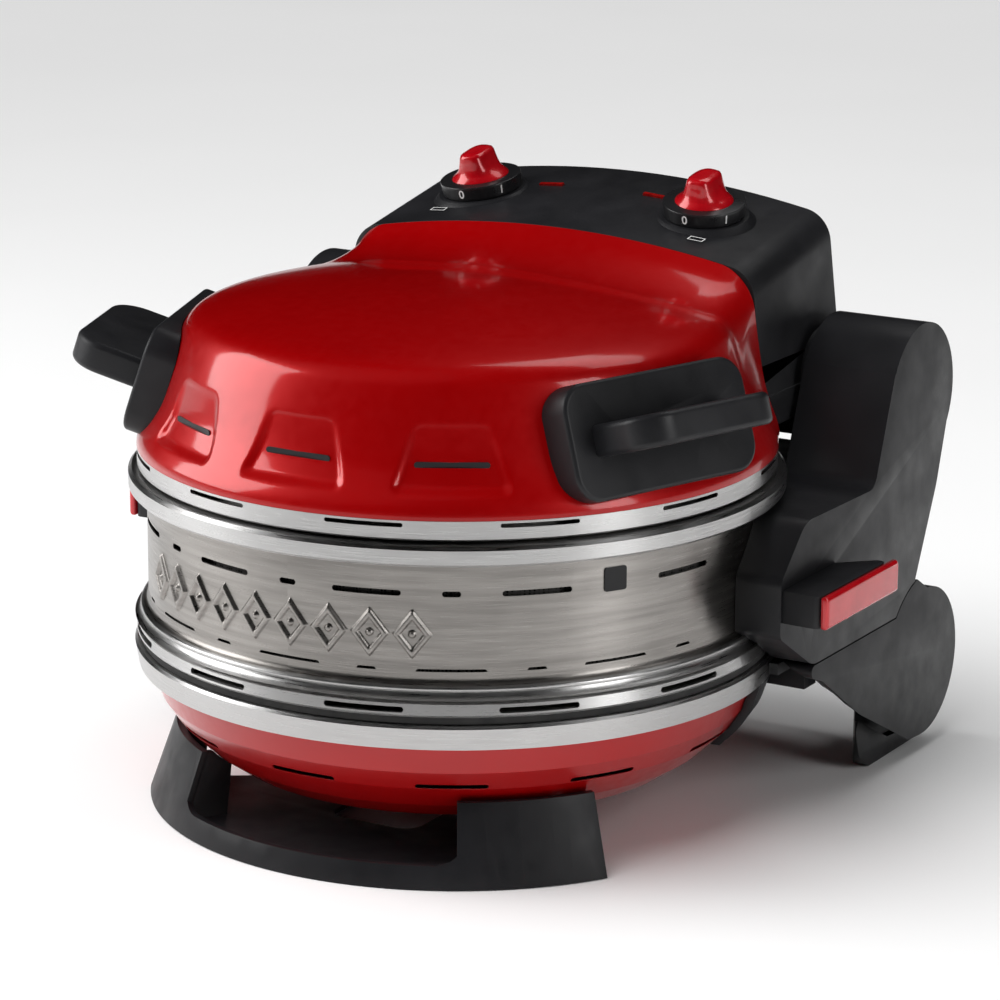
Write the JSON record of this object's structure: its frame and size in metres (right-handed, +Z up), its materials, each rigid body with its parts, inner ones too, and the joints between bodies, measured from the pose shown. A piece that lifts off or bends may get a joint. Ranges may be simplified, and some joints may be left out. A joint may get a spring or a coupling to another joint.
{
  "type": "countertop pizza oven",
  "caption": "Round countertop pizza oven with two baking levels: bowl base on a stand, hinged middle ring, domed lid with handles and control housing with knobs.",
  "frame": {"origin": "on the table, at the middle of the oven's footprint", "axes": "+Z up; -Y towards the user, where the lid and the middle ring open; +X to the user's right"},
  "size_m": [0.476, 0.4366, 0.3528],
  "materials": {
    "red_enamel": "glossy enamel",
    "stainless_steel": "brushed, satin",
    "black_plastic": "fine textured satin",
    "dial_plastic": "satin with white numerals",
    "red_plastic": "glossy",
    "lamp_lens": "translucent red, unlit",
    "baking_stone": "rough fired ceramic",
    "aluminised_sheet": "satin sheet",
    "heating_rod": "dark oxidised",
    "black_mesh": "perforated, dark",
    "rubber": "matte",
    "plated_steel": "zinc plated",
    "white_ceramic": "fired, matte"
  },
  "bodies": {
    "base": {"stand_front": "black_plastic", "rubber_feet": "rubber", "rear_crossbar": "black_plastic", "mains_inlet": "black_plastic", "foot_screws": "plated_steel", "bowl_shell": "red_enamel", "bowl_liner": "aluminised_sheet", "base_rim": "stainless_steel", "lower_element": "heating_rod", "lower_element_clips": "plated_steel", "lower_stone": "baking_stone", "lower_hinge_pins": "plated_steel", "rear_foot_left": "black_plastic", "rear_foot_right": "black_plastic", "hinge_bracket_left": "black_plastic", "hinge_bracket_right": "black_plastic"},
    "middle": {"mid_band": "stainless_steel", "mid_flange": "stainless_steel", "mid_seal": "rubber", "mid_top_rim": "stainless_steel", "mid_mesh": "black_mesh", "rear_shroud": "black_plastic", "upper_tray": "aluminised_sheet", "upper_stone": "baking_stone", "stone_element": "heating_rod", "stone_element_clips": "plated_steel", "ceiling_plate": "aluminised_sheet", "ceiling_element": "heating_rod", "ceiling_element_clips": "plated_steel", "lever_screws": "plated_steel", "upper_hinge_pins": "plated_steel", "arm_left": "black_plastic", "arm_right": "black_plastic", "side_lever_left": "black_plastic", "side_lever_right": "black_plastic", "lever_cap_left": "red_plastic", "lever_cap_right": "red_plastic"},
    "lid": {"lid_shell": "red_enamel", "lid_rim": "stainless_steel", "lid_liner": "aluminised_sheet", "lid_element": "heating_rod", "lid_element_clips": "plated_steel", "handle_screws": "plated_steel", "housing": "black_plastic", "housing_cover": "black_plastic", "indicator_lamps": "lamp_lens", "terminal_block": "white_ceramic", "handle_plate_left": "black_plastic", "handle_plate_right": "black_plastic", "handle_grip_left": "black_plastic", "handle_grip_right": "black_plastic", "dial_ring_left": "black_plastic", "dial_ring_right": "black_plastic", "thermostat_left": "white_ceramic", "thermostat_right": "white_ceramic"},
    "knob_left": {"knob_dial_left": "dial_plastic", "knob_grip_left": "red_plastic"},
    "knob_right": {"knob_dial_right": "dial_plastic", "knob_grip_right": "red_plastic"}
  },
  "joints": [
    {"name": "middle_hinge", "type": "hinge", "parent": "base", "child": "middle", "pos_m": [0, 0.1723, 0.057], "axis": [-1, 0, 0], "range_deg": [0, 75]},
    {"name": "lid_hinge", "type": "hinge", "parent": "middle", "child": "lid", "pos_m": [0, 0.1583, 0.226], "axis": [-1, 0, 0], "range_deg": [0, 80]},
    {"name": "knob_left_turn", "type": "hinge", "parent": "lid", "child": "knob_left", "pos_m": [-0.0765, 0.1293, 0.32385], "axis": [0.0767, 0.1783, -0.981], "range_deg": [0, 240]},
    {"name": "knob_right_turn", "type": "hinge", "parent": "lid", "child": "knob_right", "pos_m": [0.0765, 0.1293, 0.32385], "axis": [-0.0767, 0.1783, -0.981], "range_deg": [0, 240]}
  ]
}
